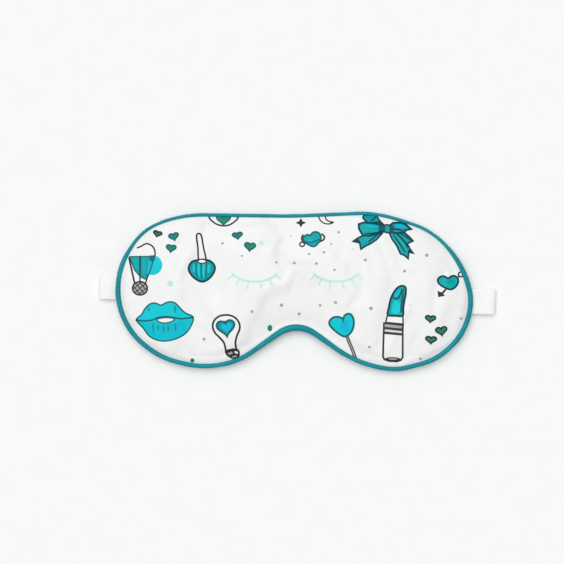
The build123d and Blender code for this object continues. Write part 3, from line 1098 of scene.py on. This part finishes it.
elastic = fabric(
    "elastic_knit", (247, 248, 246), (241, 242, 240), thread=0.55, twill=-2.3, bump=0.35,
    rough=(0.6, 0.75), sheen=0.3, depth=0.15,
)
LOW_RUN = BAND_THICK / 2
for side, reach, node in ((-1, LOOP_LEFT, "left"), (1, LOOP_RIGHT, "right")):
    fold = reach - BAND_THICK / 2
    route = [
        (0, LOW_RUN), (40, LOW_RUN), (80, LOW_RUN), (98, LOW_RUN), (fold - 7, LOW_RUN + 0.02),
        (fold - 2.2, LOW_RUN + 0.35), (fold, 1.95), (fold - 1.9, 3.3), (fold - 6, 3.5),
        (105.4, STRAP_TOP), (101.5, STRAP_TOP), (TAB_X, STRAP_TOP),
    ]
    half = ribbed_half(f"strap_{node}", side, route, elastic)
    if side < 0:
        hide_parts("strap_end_left")
    else:
        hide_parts("strap_end_right", "strap_band")
    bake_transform(half)


# ---- threads and label
def thread_piece(name, lines, radius, material, sides=8):
    """Two-ply sewing threads along several lines of points."""
    verts = []
    faces = []
    for line in lines:
        line = np.asarray(line, float)
        run = unit(np.gradient(line, axis=0))
        side = np.cross(run, [0, 0, 1.0])
        upright = norm(side, axis=1) < 0.2
        side[upright] = np.cross(run[upright], [1.0, 0, 0])
        side = unit(side)
        rise = np.cross(side, run)
        first = len(verts)
        for k in range(len(line)):
            taper = 0.55 if k in (0, len(line) - 1) else 1.0
            for j in range(sides):
                angle = 2 * pi * j / sides
                size = radius * taper * (0.86 + 0.14 * cos(2 * angle - 1.3 * k))
                aside, above = size * cos(angle), size * sin(angle)
                verts.append(line[k] + side[k] * aside + rise[k] * above)
        faces += ring_faces(len(line), sides, first)
        faces.append(tuple(range(first, first + sides))[::-1])
        faces.append(tuple(range(len(verts) - sides, len(verts))))
    return new_object(name, verts, faces, [material])


sewing_thread = fabric(
    "sewing_thread", (232, 234, 234), (216, 220, 220), thread=0.2, twill=60, bump=0.4,
    rough=(0.5, 0.65), sheen=0.3,
)
SEAM_INSET = 2.35
SEAM_STITCH = 3.0
SEAM_HOLE = 0.35
SEAM_ARCH = 0.06
SEAM_THREAD, TACK_THREAD, CLOSING_THREAD = 0.11, 0.16, 0.17  # radii

seam_line = RIM + RIM_IN * SEAM_INSET
seam_at = np.arange(RIM_COUNT) * RIM_STEP
seam_runs = []
for begin in np.arange(0, RIM_LONG - SEAM_STITCH, SEAM_STITCH):
    at = begin + np.linspace(0, SEAM_STITCH - SEAM_HOLE, 6)
    xy = np.column_stack([np.interp(at, seam_at, seam_line[:, k]) for k in (0, 1)])
    arch = SEAM_Z + FLANGE_HALF + 0.02 + SEAM_ARCH * np.sin(np.linspace(0, pi, 6))
    seam_runs.append(np.c_[xy, arch])
seam = thread_piece("seam_stitches", seam_runs, SEAM_THREAD, sewing_thread)
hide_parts("seam_thread")
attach(seam, "mask")

for side, node in ((-1, "left"), (1, "right")):
    zigzag = []
    for row in range(3):
        for k in range(19):
            height = 3.5 if k % 2 else SEAM_Z - FLANGE_HALF + 0.05
            along = TAB_X + 1 + 0.9 * row + 0.4 * (k % 2)
            zigzag.append(strap_spot(side * along, -6.3 + 0.7 * k, height))
    tack = thread_piece(f"strap_bartack_{node}", [pen(zigzag, 3)], TACK_THREAD, sewing_thread)
    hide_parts(f"strap_tack_{node}")
    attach(tack, "mask")


def along_forehead(start, end, share):
    """A spot on the piping's line and the ways along the edge and inwards from it."""
    start, end = np.array(start, float), np.array(end, float)
    along = (end - start) / norm(end - start)
    inwards = np.array([along[1], -along[0]])
    spot = start + (end - start) * share
    nearest = rim_distance(spot[None, :])[1][0]
    return RIM[nearest], along, inwards


stitches = []
for k in range(10):
    spot, along, inwards = along_forehead(OUTLINE[-1][:2], OUTLINE[0][:2], 0.3 + 0.05 * k)
    steps = np.linspace(0, 1, 9)
    flat = spot + inwards * (1.5 + 2.8 * steps)[:, None]
    flat = flat + along * (0.9 * steps - 0.5)[:, None]
    under = back_height(flat) - 0.12 - 0.12 * np.sin(pi * steps)
    under[0] = SEAM_Z - 1.2
    stitches.append(np.c_[flat, np.minimum(under, SEAM_Z - 0.9)])
closing = thread_piece("closing_ladder", stitches, CLOSING_THREAD, sewing_thread)
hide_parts("closing_stitches")
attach(closing, "mask")

LABEL_WIDE = 14.0
LABEL_LONG = 16.0
LABEL_PLY = 0.2
LABEL_GAP = 0.16
LABEL_ROWS = 20
label_spot, label_along, label_in = along_forehead(OUTLINE[0][:2], OUTLINE[1][:2], 0.72)
label_us = np.linspace(-LABEL_WIDE / 2, LABEL_WIDE / 2, LABEL_ROWS)
label_vs = np.linspace(1.6, LABEL_LONG + 1.4, LABEL_ROWS)
grid = np.array([(u, v) for v in label_vs for u in label_us])


def label_height(points):
    offset = points - label_spot
    u, v = offset @ label_along, offset @ label_in
    curl = 0.22 * (v / LABEL_LONG) ** 2 + 0.06 * np.sin(u / 2.2 + v / 5)
    return back_height(points) - LABEL_GAP - curl


label_points = label_spot + grid[:, :1] * label_along + grid[:, 1:] * label_in
label_tris = []
for row in range(LABEL_ROWS - 1):
    for column in range(LABEL_ROWS - 1):
        a = row * LABEL_ROWS + column
        label_tris += [(a, a + LABEL_ROWS, a + 1), (a + 1, a + LABEL_ROWS, a + LABEL_ROWS + 1)]
label_satin = fabric(
    "label_satin", (240, 240, 238), (230, 231, 229), thread=0.3, twill=0, bump=0.2, rough=(0.4, 0.5)
)
label_top = label_height(label_points)
label = ply_object(
    "care_label_tab", label_points, np.array(label_tris), label_top, label_top - LABEL_PLY,
    slopes(label_height, label_points), [label_satin],
)
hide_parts("care_label")
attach(label, "mask")

# ---- floor, light and camera
floor_paper = fabric(
    "floor_paper", (246, 246, 246), (244, 244, 244), thread=1.5, bump=0.02, rough=(0.8, 0.9),
    sheen=0.0, depth=0.02,
)
bpy.ops.mesh.primitive_plane_add(size=6, location=(0, 0, 0))
floor = bpy.context.object
floor.name = "floor"
floor.data.materials.append(floor_paper)

scene.view_settings.view_transform = "Standard"
world = bpy.data.worlds.new("soft_room")
world.use_nodes = True
sky = world.node_tree.nodes["Background"]
sky.inputs["Color"].default_value = (1, 1, 1, 1)
sky.inputs["Strength"].default_value = 0.42
scene.world = world


def soft_sun(name, azimuth, lean, strength, spread):
    """A very wide sun: azimuth and lean from the vertical in degrees, spread is its angular width."""
    light = bpy.data.lights.new(name, "SUN")
    light.energy = strength
    light.angle = radians(spread)
    lamp = bpy.data.objects.new(name, light)
    lamp.rotation_euler = (radians(lean), 0, radians(azimuth))
    scene.collection.objects.link(lamp)


soft_sun("overhead", 212, 16, 2.02, 62)

VIEW_X, VIEW_Y, VIEW_HEIGHT = -6.9, 5.5, 905.2
camera = bpy.data.cameras.new("camera")
camera.sensor_width = 36
camera.lens = 97.6
camera.clip_start = 0.01
eye = bpy.data.objects.new("camera", camera)
eye.location = (VIEW_X * MM, VIEW_Y * MM, VIEW_HEIGHT * MM)
scene.collection.objects.link(eye)
scene.camera = eye
